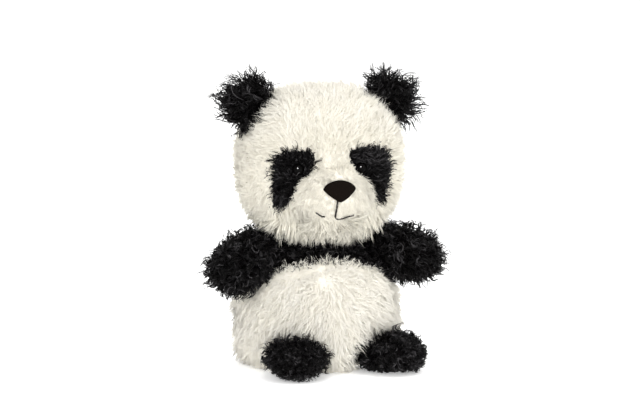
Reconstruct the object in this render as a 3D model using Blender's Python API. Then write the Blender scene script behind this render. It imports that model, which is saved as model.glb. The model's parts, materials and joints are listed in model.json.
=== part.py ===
"""A seated plush panda about 18 cm tall, built the way the toy is sewn.

Panels of pile fabric wrap cores of stuffing, and neighbouring panels meet at seams. The head, the arms,
the legs and the ears each swing in a rounded seat, so that they can turn without cutting into the body.
The panda faces -Y, its own left side is +X, and it sits on the plane z = 0.
"""

import math

import bmesh
import bpy
from mathutils import Vector

# Fabric, in metres
SEAM = 0.0003          # gap between two pieces that touch
BODY_SHEET = 0.004     # backing and packed pile of the torso and head panels
LIMB_SHEET = 0.003     # the same on the arms and legs
EAR_SHEET = 0.0022     # the same on the ears
THREAD_R = 0.0004      # radius of the sewing thread

# Torso: half width, half depth, the height of its widest level, and how far it reaches up and down from it
TORSO_HALF = (0.0462, 0.040)
TORSO_WAIST_Z = 0.033
TORSO_UP = 0.039
TORSO_DOWN = 0.036
TORSO_TOP_POWER = 2.4
TORSO_BASE_POWER = 5.0
YOKE_EDGE_Z = 0.063    # the white belly's highest point
YOKE_EDGE_R = 0.076    # radius of the curve that its top edge follows
SIDE_SEAM_Y = 0.0
BASE_HALF = (0.031, 0.027)
POUCH_HALF = (0.026, 0.022, 0.0095)
POUCH_CLOTH = 0.001

# Head
HEAD_CENTRE = Vector((0, -0.002, 0.117))
HEAD_HALF = (0.0465, 0.0345, 0.042)
HEAD_POWER = 2.5
GUSSET_HALF_WIDTH = 0.0085
BACK_SEAM_Y = 0.008
CHIN_SEAM_Z = 0.090
MUZZLE_CENTRE = Vector((0, -0.028, 0.1005))
MUZZLE_HALF = (0.023, 0.022, 0.0175)
# The patches and eyes are sewn a little to the panda's right: each side's place in x and z
PATCH_CENTRES = {"left": (0.0245, 0.1125), "right": (-0.0240, 0.1115)}
PATCH_HALF_WIDTH = {"left": 0.0094, "right": 0.0084}
PATCH_HALF_HEIGHT = 0.0155
PATCH_TAPER = 0.52      # how much wider the patch is above its middle than below it
PATCH_SLANT = {"left": 0.33, "right": 0.30}  # how far each shifts away from the nose for each metre down
PATCH_SQUARENESS = 0.6  # 1 is an oval, smaller is squarer
EYE_PLACES = {"left": (0.0162, 0.1168), "right": (-0.0202, 0.1170)}
EYE_R = 0.0031
EYE_STEM_R = 0.0010
EYE_WASHER_R = 0.0045
EYE_WASHER_SLACK = 0.0038      # behind the patch, whose back is a little uneven
NOSE_HALF = (0.0093, 0.0030, 0.0062)
NOSE_Z = 0.1060
MOUTH_HALF_WIDTH = 0.0105
MOUTH_Z = 0.0908

# Neck, arms, legs and ears: each pivot is the centre of its rounded seat
NECK_PIVOT = Vector((0, 0.002, 0.073))
NECK_R = 0.014
THREAD_ROOM = 0.0018   # room in a seat for the ring of thread that closes it
SHOULDER_PIVOT = Vector((0.0355, -0.005, 0.0660))
ARM_OUTWARD = 52       # degrees from straight ahead
ARM_DROOP = {"left": 8, "right": 14}
ARM_ROOT_R = 0.0125
ARM_LENGTH = 0.037
ARM_END_R = 0.0138
ARM_ROOM_AT = 0.006    # the seat's mouth is wider, so that the arm can swing: a ball this far out
ARM_ROOM_R = 0.0168
HIP_PIVOTS = {
    "left": Vector((0.0245, -0.0325, 0.0083)),
    "right": Vector((-0.0205, -0.0312, 0.0083)),
}
LEG_OUTWARD = {"left": 62, "right": 14}     # the soft legs flop, one aside and one ahead
LEG_ROOT = (0.008, 0.0125)     # radius, half width
LEG_LENGTH = 0.0285
LEG_END = (0.0178, 0.0107)     # half width, half height
LEG_SEAT = (0.0166, 0.0188)    # the seat's radius and half width, with room for the leg to lift
SOLE_FROM = 0.74               # where the sole panel starts, as a part of the leg's length
EAR_PIVOT = Vector((0.0345, -0.005, 0.1450))
EAR_TILT = 46          # degrees outward from upright
EAR_R = 0.0135
EAR_HALF_THICK = 0.0048
EAR_CENTRE = 0.0095    # from the pivot to the disc's centre
EAR_ROOT = (0.0036, 0.0090)    # radius, half width
EAR_SEAT = (0.0078, 0.0144)    # the same of the seat, with room for the ear to fold

FAR = 0.25             # larger than the toy

# How finely the forms are divided: segments round, and rings from pole to pole
COVER_DETAIL = (18, 12)
CORE_DETAIL = (12, 8)
MUZZLE_DETAIL = (14, 8)
SMALL_DETAIL = (12, 8)
SEAT_DETAIL = (14, 8)
LIMB_DETAIL = (14, 8)
RING_POINTS = 16

WHITE_PILE = ((0.80, 0.76, 0.67, 1), 0.95)
BLACK_PILE = ((0.012, 0.010, 0.011, 1), 0.9)
STUFFING = ((0.85, 0.85, 0.83, 1), 0.9)
CALICO = ((0.70, 0.64, 0.52, 1), 0.85)
PELLETS = ((0.75, 0.75, 0.72, 1), 0.5)
EYE_PLASTIC = ((0.01, 0.008, 0.007, 1), 0.08)
WASHER_PLASTIC = ((0.7, 0.7, 0.7, 1), 0.4)
NOSE_CLOTH = ((0.016, 0.009, 0.007, 1), 0.6)
DARK_THREAD = ((0.02, 0.015, 0.012, 1), 0.6)
WHITE_THREAD = ((0.78, 0.74, 0.66, 1), 0.6)

for leftover in list(bpy.data.objects):
    bpy.data.objects.remove(leftover, do_unlink=True)

parts = bpy.data.collections.new("plush_panda")
cutters = bpy.data.collections.new("cutters")
bpy.context.scene.collection.children.link(parts)
bpy.context.scene.collection.children.link(cutters)


# Objects, materials and cuts

def material(name, look):
    """A Principled material of one colour and roughness."""
    made = bpy.data.materials.new(name)
    made.use_nodes = True
    shader = made.node_tree.nodes["Principled BSDF"]
    shader.inputs["Base Color"].default_value = look[0]
    shader.inputs["Roughness"].default_value = look[1]
    return made


def body_empty(name, place=(0, 0, 0), turn=(0, 0, 0)):
    """An empty on a body's joint, which the body's pieces hang from."""
    empty = bpy.data.objects.new(name, None)
    empty.location = place
    empty.rotation_euler = [math.radians(angle) for angle in turn]
    empty.empty_display_size = 0.01
    parts.objects.link(empty)
    return empty


def add_part(name, data, look, parent, world=True):
    """One visible piece. With world set, its mesh is in the toy's frame, and otherwise in its parent's."""
    piece = bpy.data.objects.new(name, data)
    piece.data.materials.append(material(name, look))
    parts.objects.link(piece)
    piece.parent = parent
    if world:
        bpy.context.view_layer.update()
        piece.matrix_parent_inverse = parent.matrix_world.inverted()
    return piece


def add_cutter(name, data, parent=None):
    """A shape that only cuts, kept out of the model."""
    cutter = bpy.data.objects.new(name, data)
    cutter.display_type = "WIRE"
    cutter.hide_render = True
    cutters.objects.link(cutter)
    cutter.parent = parent
    return cutter


def cut(piece, operation, *tools):
    """Boolean modifiers, one for each tool."""
    for tool in tools:
        step = piece.modifiers.new(f"{operation.lower()} {tool.name}", "BOOLEAN")
        step.operation = operation
        step.object = tool
    return piece


def box_mesh(low, high):
    """A block between two corners."""
    low = Vector(low)
    high = Vector(high)
    bm = bmesh.new()
    bmesh.ops.create_cube(bm, size=1)
    for vert in bm.verts:
        vert.co = [low[i] + (high[i] - low[i]) * (vert.co[i] + 0.5) for i in range(3)]
    return finish_mesh("block", bm, smooth=False)


def finish_mesh(name, bm, smooth=True):
    """A mesh from bm, with faces pointing out."""
    if bm.calc_volume(signed=True) < 0:
        bmesh.ops.reverse_faces(bm, faces=bm.faces)
    mesh = bpy.data.meshes.new(name)
    bm.to_mesh(mesh)
    bm.free()
    if smooth:
        mesh.shade_smooth()
    return mesh


def rounded_mesh(name, place, around, along):
    """A sphere primitive whose every point is moved to where place puts its direction."""
    bm = bmesh.new()
    bmesh.ops.create_uvsphere(bm, u_segments=around, v_segments=along, radius=1)
    for vert in bm.verts:
        vert.co = place(vert.co.normalized())
    bmesh.ops.triangulate(bm, faces=bm.faces)
    return finish_mesh(name, bm)


def ball_cutter(name, centre, radius, parent=None):
    """A faceted sphere that cuts a rounded seat, with its flats no nearer than radius."""
    flats = math.cos(math.pi / SEAT_DETAIL[0]) * math.cos(math.pi / (2 * SEAT_DETAIL[1]))
    corner = radius / flats
    mesh = rounded_mesh(name, lambda way: Vector(centre) + way * corner, *SEAT_DETAIL)
    return add_cutter(name, mesh, parent)


def block_cutter(name, low, high, parent=None):
    return add_cutter(name, box_mesh(low, high), parent)


def thread(name, points, look, parent, radius=THREAD_R, closed=False, world=True):
    """A sewing thread through the points, as a thin round tube."""
    path = bpy.data.curves.new(name, "CURVE")
    path.dimensions = "3D"
    path.bevel_depth = radius
    path.bevel_resolution = 0
    path.use_fill_caps = not closed
    line = path.splines.new("POLY")
    line.points.add(len(points) - 1)
    line.use_cyclic_u = closed
    for point, place in zip(line.points, points):
        point.co = (*place, 1)
    return add_part(name, path, look, parent, world)


# Forms: each gives the point of a rounded shape in the direction way, drawn in by inset

def superellipse_reach(way, half, power):
    """How far a superellipsoid with these half sizes reaches in the direction way."""
    return sum(abs(way[i] / half[i]) ** power for i in range(3)) ** (-1 / power)


def torso_point(way, inset=0.0):
    """A bag with a broad base and sloping shoulders."""
    half_width = TORSO_HALF[0] - inset
    half_depth = TORSO_HALF[1] - inset
    level = math.hypot(way.x / half_width, way.y / half_depth)
    rise = (TORSO_UP if way.z > 0 else TORSO_DOWN) - inset
    power = TORSO_TOP_POWER if way.z > 0 else TORSO_BASE_POWER
    reach = (level ** power + abs(way.z / rise) ** power) ** (-1 / power)
    return Vector((0, 0, TORSO_WAIST_Z)) + way * reach


def head_point(way, inset=0.0):
    half = [size - inset for size in HEAD_HALF]
    return HEAD_CENTRE + way * superellipse_reach(way, half, HEAD_POWER)


def muzzle_point(way, inset=0.0):
    half = [size - inset for size in MUZZLE_HALF]
    return MUZZLE_CENTRE + way * superellipse_reach(way, half, 2.2)


def pouch_point(way, inset=0.0):
    half = [size - inset for size in POUCH_HALF]
    centre = Vector((0, 0, BODY_SHEET + SEAM + POUCH_HALF[2]))
    return centre + way * superellipse_reach(way, half, 2.6)


def ease(value):
    """0 to 1 with a soft start and end."""
    value = min(max(value, 0), 1)
    return value * value * (3 - 2 * value)


def limb_point(way, inset, root, length, end, lift=0.0, fill_at=0.5):
    """A limb along +X whose root is round about the joint, and whose end is plump.

    root is (radius, half width) and end is (half width, half height). lift raises the end's middle.
    """
    along, side, up = way.z, way.x, way.y
    root_radius = root[0] - inset
    root_width = root[1] - inset
    if along <= 0:
        return Vector((along * root_radius, side * root_width, up * root_radius))
    share = along
    taper = (1 - share ** 3) ** (1 / 3)
    across = math.hypot(side, up) or 1
    swell = ease(share / fill_at)
    width = root_width + (end[0] - inset - root_width) * swell
    height = root_radius + (end[1] - inset - root_radius) * swell
    middle = lift * swell * taper
    x = share * (length - inset)
    return Vector((x, side / across * width * taper, up / across * height * taper + middle))


def arm_point(way, inset=0.0):
    return limb_point(way, inset, (ARM_ROOT_R, ARM_ROOT_R), ARM_LENGTH, (ARM_END_R, ARM_END_R))


def leg_point(way, inset=0.0):
    lift = LEG_END[1] - LEG_ROOT[0]
    return limb_point(way, inset, LEG_ROOT, LEG_LENGTH, LEG_END, lift)


def ear_point(way, inset=0.0):
    """A round cushion standing on the pivot, its tip along +X and its faces along Y."""
    disc = [EAR_R - inset, EAR_HALF_THICK - inset, EAR_R - inset]
    return Vector((EAR_CENTRE, 0, 0)) + way * superellipse_reach(way, disc, 2.3)


def form_mesh(name, point, inset, detail):
    """The closed mesh of a form, drawn in by inset (or pushed out where inset is negative)."""
    return rounded_mesh(name, lambda way: point(way, inset), *detail)


# The bodies

torso = body_empty("torso_origin")
neck = body_empty("neck_origin", NECK_PIVOT)
head = body_empty("head_origin", NECK_PIVOT)
SIDES = (("left", 1), ("right", -1))


def mirrored(place, side):
    return Vector((place[0] * side, place[1], place[2]))


shoulders = {}
arms = {}
legs = {}
ears = {}
for label, side in SIDES:
    arm_turn = (0, ARM_DROOP[label], -90 + side * ARM_OUTWARD)
    leg_turn = (0, 0, -90 + side * LEG_OUTWARD[label])
    shoulders[label] = body_empty(f"shoulder_{label}_origin", mirrored(SHOULDER_PIVOT, side), arm_turn)
    arms[label] = body_empty(f"arm_{label}_origin", mirrored(SHOULDER_PIVOT, side), arm_turn)
    legs[label] = body_empty(f"leg_{label}_origin", HIP_PIVOTS[label], leg_turn)
    ear_turn = (0, -90 + side * EAR_TILT, 0)
    ears[label] = body_empty(f"ear_{label}_origin", mirrored(EAR_PIVOT, side), ear_turn)
bpy.context.view_layer.update()

# Seats, cut where another body's rounded root sits

neck_seat = ball_cutter("neck_seat", NECK_PIVOT, NECK_R + THREAD_ROOM)
head_seat = ball_cutter("head_seat", NECK_PIVOT, NECK_R + 2 * SEAM)
arm_seats = []
leg_seats = []
ear_seats = []


def turned_ball(name, radius, half_width, axis, parent):
    """A ball widened along one axis, so that it is round about that axis."""
    half = [radius, radius, radius]
    half[axis] = half_width
    mesh = rounded_mesh(name, lambda way: Vector([way[i] * half[i] for i in range(3)]), *SMALL_DETAIL)
    return add_cutter(name, mesh, parent)


for label, side in SIDES:
    arm_seats.append(ball_cutter(f"arm_seat_{label}", (0, 0, 0), ARM_ROOT_R + THREAD_ROOM, arms[label]))
    arm_seats.append(ball_cutter(f"arm_room_{label}", (ARM_ROOM_AT, 0, 0), ARM_ROOM_R, arms[label]))
    leg_seats.append(turned_ball(f"leg_seat_{label}", *LEG_SEAT, 1, legs[label]))
    ear_seats.append(turned_ball(f"ear_seat_{label}", *EAR_SEAT, 2, ears[label]))


# Torso

torso_core = add_cutter("torso_core", form_mesh("torso_core", torso_point, BODY_SHEET, CORE_DETAIL))
above_floor = block_cutter("above_floor", (-FAR, -FAR, 0), (FAR, FAR, FAR))


def level_cylinder(name, radius):
    """A cylinder along Y whose top is the white belly's highest point plus what radius adds."""
    bm = bmesh.new()
    bmesh.ops.create_cone(bm, cap_ends=True, segments=96, radius1=radius, radius2=radius, depth=FAR)
    for vert in bm.verts:
        vert.co = (vert.co.x, vert.co.z, vert.co.y + YOKE_EDGE_Z - YOKE_EDGE_R)
    return add_cutter(name, finish_mesh(name, bm, smooth=False))


def base_column(name, grow, low, high):
    """An upright column with the base panel's outline."""
    bm = bmesh.new()
    bmesh.ops.create_cone(bm, cap_ends=True, segments=36, radius1=1, radius2=1, depth=1)
    for vert in bm.verts:
        z = low + (high - low) * (vert.co.z + 0.5)
        vert.co = (vert.co.x * (BASE_HALF[0] + grow), vert.co.y * (BASE_HALF[1] + grow), z)
    return finish_mesh(name, bm, smooth=False)


white_zone = level_cylinder("white_zone", YOKE_EDGE_R - SEAM / 2)
yoke_limit = level_cylinder("yoke_limit", YOKE_EDGE_R + SEAM / 2)
front_zone = block_cutter("front_zone", (-FAR, -FAR, -FAR), (FAR, SIDE_SEAM_Y - SEAM / 2, FAR))
back_zone = block_cutter("back_zone", (-FAR, SIDE_SEAM_Y + SEAM / 2, -FAR), (FAR, FAR, FAR))
half_zones = {
    "left": block_cutter("left_zone", (SEAM / 2, -FAR, -FAR), (FAR, FAR, FAR)),
    "right": block_cutter("right_zone", (-FAR, -FAR, -FAR), (-SEAM / 2, FAR, FAR)),
}
base_room = add_cutter("base_room", base_column("base_room", SEAM, -FAR, BODY_SHEET + SEAM))


def torso_panel(name, look, keep, clear):
    """One panel of the torso's cover: the sheet inside every zone in keep and outside those in clear."""
    panel = add_part(name, form_mesh(name, torso_point, 0, COVER_DETAIL), look, torso)
    cut(panel, "INTERSECT", above_floor, *keep)
    return cut(panel, "DIFFERENCE", torso_core, *clear)


torso_panel("yoke_front", BLACK_PILE, [front_zone], [yoke_limit, neck_seat, *arm_seats])
torso_panel("yoke_back", BLACK_PILE, [back_zone], [yoke_limit, neck_seat, *arm_seats])
torso_panel("belly_panel", WHITE_PILE, [front_zone, white_zone], [base_room, *arm_seats, *leg_seats])
for label, side in SIDES:
    zones = [back_zone, white_zone, half_zones[label]]
    torso_panel(f"back_panel_{label}", WHITE_PILE, zones, [base_room, *arm_seats])

base_panel = add_part("base_panel", base_column("base_panel", 0, 0, BODY_SHEET), WHITE_PILE, torso)
cut(base_panel, "DIFFERENCE", *leg_seats)

stuffing_bottom = BODY_SHEET + SEAM
above_base = block_cutter("above_base", (-FAR, -FAR, stuffing_bottom), (FAR, FAR, FAR))
pouch_room = add_cutter("pouch_room", form_mesh("pouch_room", pouch_point, -SEAM, SEAT_DETAIL))
pouch_skirt = add_cutter("pouch_skirt", form_mesh("pouch_skirt", pouch_point, -SEAM, SEAT_DETAIL))
for skirt_point in pouch_skirt.data.vertices:
    if skirt_point.co.z < stuffing_bottom + POUCH_HALF[2]:
        skirt_point.co.z -= 2 * POUCH_HALF[2]
torso_fill = form_mesh("torso_stuffing", torso_point, BODY_SHEET + SEAM, CORE_DETAIL)
torso_stuffing = add_part("torso_stuffing", torso_fill, STUFFING, torso)
cut(torso_stuffing, "INTERSECT", above_base)
cut(torso_stuffing, "DIFFERENCE", pouch_room, pouch_skirt, neck_seat, *arm_seats, *leg_seats)

pouch_core = add_cutter("pouch_core", form_mesh("pouch_core", pouch_point, POUCH_CLOTH, SEAT_DETAIL))
pouch_seam_z = stuffing_bottom + POUCH_HALF[2]
pouch_zones = {
    "top": block_cutter("pouch_top_zone", (-FAR, -FAR, pouch_seam_z + SEAM / 2), (FAR, FAR, FAR)),
    "base": block_cutter("pouch_base_zone", (-FAR, -FAR, -FAR), (FAR, FAR, pouch_seam_z - SEAM / 2)),
}
for half, zone in pouch_zones.items():
    pouch = add_part(f"bean_pouch_{half}", form_mesh("bean_pouch", pouch_point, 0, SEAT_DETAIL), CALICO, torso)
    cut(pouch, "DIFFERENCE", pouch_core, *leg_seats)
    cut(pouch, "INTERSECT", zone)
bean_fill = form_mesh("bean_fill", pouch_point, POUCH_CLOTH + SEAM, SEAT_DETAIL)
cut(add_part("bean_fill", bean_fill, PELLETS, torso), "DIFFERENCE", *leg_seats)


def closing_stitch(name):
    """The hand-sewn ladder stitch that closes the back after stuffing."""
    points = []
    for step in range(15):
        height = 0.022 + 0.002 * step
        across = 0.0012 * (-1) ** step
        rise = (height - TORSO_WAIST_Z)
        reach = TORSO_UP if rise > 0 else TORSO_DOWN
        power = TORSO_TOP_POWER if rise > 0 else TORSO_BASE_POWER
        depth = TORSO_HALF[1] * (1 - abs(rise / reach) ** power) ** (1 / power)
        points.append((across, depth + THREAD_R + SEAM, height))
    return thread(name, points, WHITE_THREAD, torso)


closing_stitch("closing_stitch")

# Neck: a firm ball of stuffing, and the ring of thread that sews the head on


def ring_points(radius, offset):
    """Points of a ring round the X axis, at offset along it."""
    turns = [2 * math.pi * step / RING_POINTS for step in range(RING_POINTS)]
    return [(offset, radius * math.cos(turn), radius * math.sin(turn)) for turn in turns]


neck_ball = rounded_mesh("neck_stuffing", lambda way: NECK_PIVOT + way * NECK_R, *SEAT_DETAIL)
add_part("neck_stuffing", neck_ball, STUFFING, neck)
ring_sphere = NECK_R + THREAD_ROOM / 2
ring_drop = 0.0035
ring_radius = math.sqrt(ring_sphere ** 2 - ring_drop ** 2)
neck_ring = [NECK_PIVOT + Vector((y, z, -ring_drop)) for _, y, z in ring_points(ring_radius, 0)]
thread("neck_thread", neck_ring, DARK_THREAD, neck, closed=True)


# Head

head_core = add_cutter("head_core", form_mesh("head_core", head_point, BODY_SHEET, CORE_DETAIL))
muzzle_room = add_cutter("muzzle_room", form_mesh("muzzle_room", muzzle_point, -SEAM, MUZZLE_DETAIL))


def patch_column(name, label, side, grow):
    """A bar along Y with an eye patch's outline: squarish, broad above and slanting down and away from the nose."""
    centre_x, centre_z = PATCH_CENTRES[label]
    bm = bmesh.new()
    bmesh.ops.create_cone(bm, cap_ends=True, segments=28, radius1=1, radius2=1, depth=1)
    for vert in bm.verts:
        round_x = math.copysign(abs(vert.co.x) ** PATCH_SQUARENESS, vert.co.x)
        round_z = math.copysign(abs(vert.co.y) ** PATCH_SQUARENESS, vert.co.y)
        up = round_z * (PATCH_HALF_HEIGHT + grow)
        across = round_x * (PATCH_HALF_WIDTH[label] + grow) * (1 + PATCH_TAPER * round_z)
        x = centre_x + across - side * PATCH_SLANT[label] * up
        vert.co = (x, -0.03 + 0.05 * vert.co.z, centre_z + up)
    return add_cutter(name, finish_mesh(name, bm, smooth=False))


patch_zones = {}
patch_rooms = []
eye_holes = {}
for label, side in SIDES:
    patch_zones[label] = patch_column(f"patch_zone_{label}", label, side, -SEAM / 2)
    patch_rooms.append(patch_column(f"patch_room_{label}", label, side, SEAM / 2))


def surface_y(x, z, point_half, centre, power):
    """Where a superellipsoid's front face is at this x and z."""
    rest = 1 - abs((x - centre.x) / point_half[0]) ** power - abs((z - centre.z) / point_half[2]) ** power
    return centre.y - point_half[1] * max(rest, 0) ** (1 / power)


face_zone = block_cutter("face_zone", (-FAR, -FAR, -FAR), (FAR, BACK_SEAM_Y - SEAM / 2, FAR))
nape_zone = block_cutter("nape_zone", (-FAR, BACK_SEAM_Y + SEAM / 2, -FAR), (FAR, FAR, FAR))
over_chin = block_cutter("over_chin", (-FAR, -FAR, CHIN_SEAM_Z + SEAM / 2), (FAR, FAR, FAR))
under_chin = block_cutter("under_chin", (-FAR, -FAR, -FAR), (FAR, FAR, CHIN_SEAM_Z - SEAM / 2))
gusset_edge = GUSSET_HALF_WIDTH - SEAM / 2
gusset_zone = block_cutter("gusset_zone", (-gusset_edge, -FAR, -FAR), (gusset_edge, FAR, FAR))
cheek_edge = GUSSET_HALF_WIDTH + SEAM / 2
cheek_zones = {
    "left": block_cutter("cheek_left_zone", (cheek_edge, -FAR, -FAR), (FAR, FAR, FAR)),
    "right": block_cutter("cheek_right_zone", (-FAR, -FAR, -FAR), (-cheek_edge, FAR, FAR)),
}


def head_panel(name, look, keep, clear):
    """One panel of the head's cover."""
    panel = add_part(name, form_mesh(name, head_point, 0, COVER_DETAIL), look, head)
    cut(panel, "INTERSECT", *keep)
    return cut(panel, "DIFFERENCE", head_core, *clear)


face_clear = [muzzle_room, *patch_rooms, *ear_seats]
head_panel("forehead_gusset", WHITE_PILE, [face_zone, over_chin, gusset_zone], face_clear)
head_panel("chin_panel", WHITE_PILE, [face_zone, under_chin], [muzzle_room, head_seat])
for label, side in SIDES:
    head_panel(f"cheek_{label}", WHITE_PILE, [face_zone, over_chin, cheek_zones[label]], face_clear)
    head_panel(f"head_back_{label}", WHITE_PILE, [nape_zone, half_zones[label]], [head_seat, *ear_seats])

muzzle_core = add_cutter("muzzle_core", form_mesh("muzzle_core", muzzle_point, BODY_SHEET, MUZZLE_DETAIL))
muzzle_cover = form_mesh("muzzle_panel", muzzle_point, 0, MUZZLE_DETAIL)
muzzle_panel = add_part("muzzle_panel", muzzle_cover, WHITE_PILE, head)
cut(muzzle_panel, "DIFFERENCE", muzzle_core, head_core)
muzzle_fill = form_mesh("muzzle_stuffing", muzzle_point, BODY_SHEET + SEAM, MUZZLE_DETAIL)
cut(add_part("muzzle_stuffing", muzzle_fill, STUFFING, head), "DIFFERENCE", head_core)


# Eyes: a glossy bead on a stem that goes through the patch, held by a washer behind it

def eye(label):
    x, z = EYE_PLACES[label]
    skin_y = surface_y(x, z, HEAD_HALF, HEAD_CENTRE, HEAD_POWER)
    back_y = skin_y + BODY_SHEET + EYE_WASHER_SLACK
    hole = bored_bar(f"eye_hole_{label}", EYE_STEM_R + SEAM, skin_y - 0.02, back_y + 0.006, x, z)
    washer_y = back_y
    room = bored_bar(f"washer_room_{label}", EYE_WASHER_R + SEAM, skin_y - 0.02, washer_y + 0.0025, x, z)
    seat_mesh = rounded_mesh("eye_bowl", lambda way: Vector((x, skin_y, z)) + way * (EYE_R + SEAM), 14, 10)
    bowl = add_cutter(f"eye_bowl_{label}", seat_mesh)

    bead_mesh = rounded_mesh("eye", lambda way: Vector((x, skin_y, z)) + way * EYE_R, *SMALL_DETAIL)
    bead = add_part(f"eye_{label}", bead_mesh, EYE_PLASTIC, head)
    stem = bored_bar(f"eye_stem_{label}", EYE_STEM_R, skin_y + 0.001, washer_y + 0.0018, x, z)
    cut(bead, "UNION", stem)

    washer_mesh = bar_mesh("eye_washer", EYE_WASHER_R, washer_y, washer_y + 0.0010, x, z)
    washer = add_part(f"eye_washer_{label}", washer_mesh, WASHER_PLASTIC, head)
    cut(washer, "DIFFERENCE", hole)
    return hole, room, bowl


def bar_mesh(name, radius, y_low, y_high, x, z):
    """A round bar along Y."""
    bm = bmesh.new()
    bmesh.ops.create_cone(bm, cap_ends=True, segments=12, radius1=radius, radius2=radius, depth=y_high - y_low)
    for vert in bm.verts:
        vert.co = (x + vert.co.x, (y_low + y_high) / 2 + vert.co.z, z - vert.co.y)
    return finish_mesh(name, bm, smooth=False)


def bored_bar(name, radius, y_low, y_high, x, z):
    return add_cutter(name, bar_mesh(name, radius, y_low, y_high, x, z))


washer_rooms = []
for label, side in SIDES:
    hole, room, bowl = eye(label)
    washer_rooms.append(room)
    patch_mesh = form_mesh("eye_patch", head_point, 0, COVER_DETAIL)
    patch = add_part(f"eye_patch_{label}", patch_mesh, BLACK_PILE, head)
    cut(patch, "INTERSECT", patch_zones[label])
    cut(patch, "DIFFERENCE", head_core, muzzle_room, hole, bowl)

head_fill = form_mesh("head_stuffing", head_point, BODY_SHEET + SEAM, CORE_DETAIL)
head_stuffing = add_part("head_stuffing", head_fill, STUFFING, head)
cut(head_stuffing, "DIFFERENCE", head_seat, *ear_seats, *washer_rooms)


# Nose and mouth

def nose_point(way):
    """A soft triangle, broad above and narrow below."""
    place = Vector([way[i] * NOSE_HALF[i] for i in range(3)])
    place.x *= 1 + 0.42 * way.z - 0.10 * way.z ** 2
    return place


nose_face_y = surface_y(0, NOSE_Z, MUZZLE_HALF, MUZZLE_CENTRE, 2.2)
nose = add_part("nose_pad", rounded_mesh("nose_pad", nose_point, 18, 10), NOSE_CLOTH, head, world=False)
nose.location = Vector((0, nose_face_y - 0.0008, NOSE_Z)) - NECK_PIVOT
nose.rotation_euler = (math.radians(-14), 0, 0)
cut(nose, "DIFFERENCE", muzzle_room)


def on_muzzle(x, z):
    """The place of a thread that lies on the muzzle at this x and z."""
    half = [size + THREAD_R + SEAM for size in MUZZLE_HALF]
    return (x, surface_y(x, z, half, MUZZLE_CENTRE, 2.2), z)


smile = []
for step in range(17):
    share = step / 8 - 1
    z = MOUTH_Z + 0.0024 * abs(share) ** 2.2
    smile.append(on_muzzle(MOUTH_HALF_WIDTH * share, z))
thread("mouth_smile", smile, DARK_THREAD, head)
lip_z = MOUTH_Z + 2 * THREAD_R + SEAM
nose_bottom_z = NOSE_Z - NOSE_HALF[2] - SEAM
philtrum = [on_muzzle(0, lip_z + (nose_bottom_z - lip_z) * step / 6) for step in range(7)]
thread("mouth_philtrum", philtrum, DARK_THREAD, head)


# Ears, arms and legs: one set for each side

def shell_half(name, point, sheet, look, parent, keep, clear, detail):
    """A panel of a limb or ear: its sheet inside every zone in keep and outside every one in clear."""
    panel = add_part(name, form_mesh(name, point, 0, detail), look, parent, world=False)
    inside = add_cutter(f"{name}_inside", form_mesh(name, point, sheet, detail), parent)
    cut(panel, "INTERSECT", *keep)
    return cut(panel, "DIFFERENCE", inside, *clear)


def make_ear(label):
    parent = ears[label]
    detail = SMALL_DETAIL
    root = turned_ball(f"ear_root_{label}", *EAR_ROOT, 2, parent)
    room = turned_ball(f"ear_root_room_{label}", EAR_ROOT[0] + SEAM, EAR_ROOT[1] + SEAM, 2, parent)
    front = block_cutter(f"ear_front_zone_{label}", (0, -FAR, -FAR), (FAR, -SEAM / 2, FAR), parent)
    back = block_cutter(f"ear_back_zone_{label}", (0, SEAM / 2, -FAR), (FAR, FAR, FAR), parent)
    for name, zone in (("front", front), ("back", back)):
        panel_name = f"ear_{name}_{label}"
        shell_half(panel_name, ear_point, EAR_SHEET, BLACK_PILE, parent, [zone], [room], detail)
    batting_mesh = form_mesh("ear_batting", ear_point, EAR_SHEET + SEAM, detail)
    batting = add_part(f"ear_batting_{label}", batting_mesh, STUFFING, parent, world=False)
    cut(batting, "UNION", root)


def make_arm(label):
    parent = arms[label]
    detail = LIMB_DETAIL
    upper = block_cutter(f"arm_upper_zone_{label}", (-FAR, -FAR, SEAM / 2), (FAR, FAR, FAR), parent)
    under = block_cutter(f"arm_under_zone_{label}", (-FAR, -FAR, -FAR), (FAR, FAR, -SEAM / 2), parent)
    for name, zone in (("upper", upper), ("under", under)):
        shell_half(f"arm_{name}_{label}", arm_point, LIMB_SHEET, BLACK_PILE, parent, [zone], [], detail)
    core = form_mesh("arm_stuffing", arm_point, LIMB_SHEET + SEAM, detail)
    add_part(f"arm_stuffing_{label}", core, STUFFING, parent, world=False)
    sphere = ARM_ROOT_R + THREAD_ROOM / 2
    polar = math.radians(127)
    ring = ring_points(sphere * math.sin(polar), sphere * math.cos(polar))
    thread(f"shoulder_thread_{label}", ring, DARK_THREAD, shoulders[label], closed=True, world=False)


def make_leg(label):
    parent = legs[label]
    detail = LIMB_DETAIL
    sole_x = LEG_LENGTH * SOLE_FROM
    split_z = 0.0015
    top = block_cutter(f"leg_top_zone_{label}", (-FAR, -FAR, split_z), (sole_x - SEAM, FAR, FAR), parent)
    low = (-FAR, -FAR, -FAR)
    under = block_cutter(f"leg_under_zone_{label}", low, (sole_x - SEAM, FAR, split_z - SEAM), parent)
    sole = block_cutter(f"sole_zone_{label}", (sole_x, -FAR, -FAR), (FAR, FAR, FAR), parent)
    for name, zone in (("leg_top", top), ("leg_under", under), ("sole", sole)):
        shell_half(f"{name}_{label}", leg_point, LIMB_SHEET, BLACK_PILE, parent, [zone], [], detail)
    core = form_mesh("leg_stuffing", leg_point, LIMB_SHEET + SEAM, detail)
    add_part(f"leg_stuffing_{label}", core, STUFFING, parent, world=False)


for label, side in SIDES:
    make_ear(label)
    make_arm(label)
    make_leg(label)
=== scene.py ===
"""Looks of the seated plush panda: puffed cloth panels, curly pile, eyes, sewn nose and mouth, and a pale studio."""

import json
import math

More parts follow.
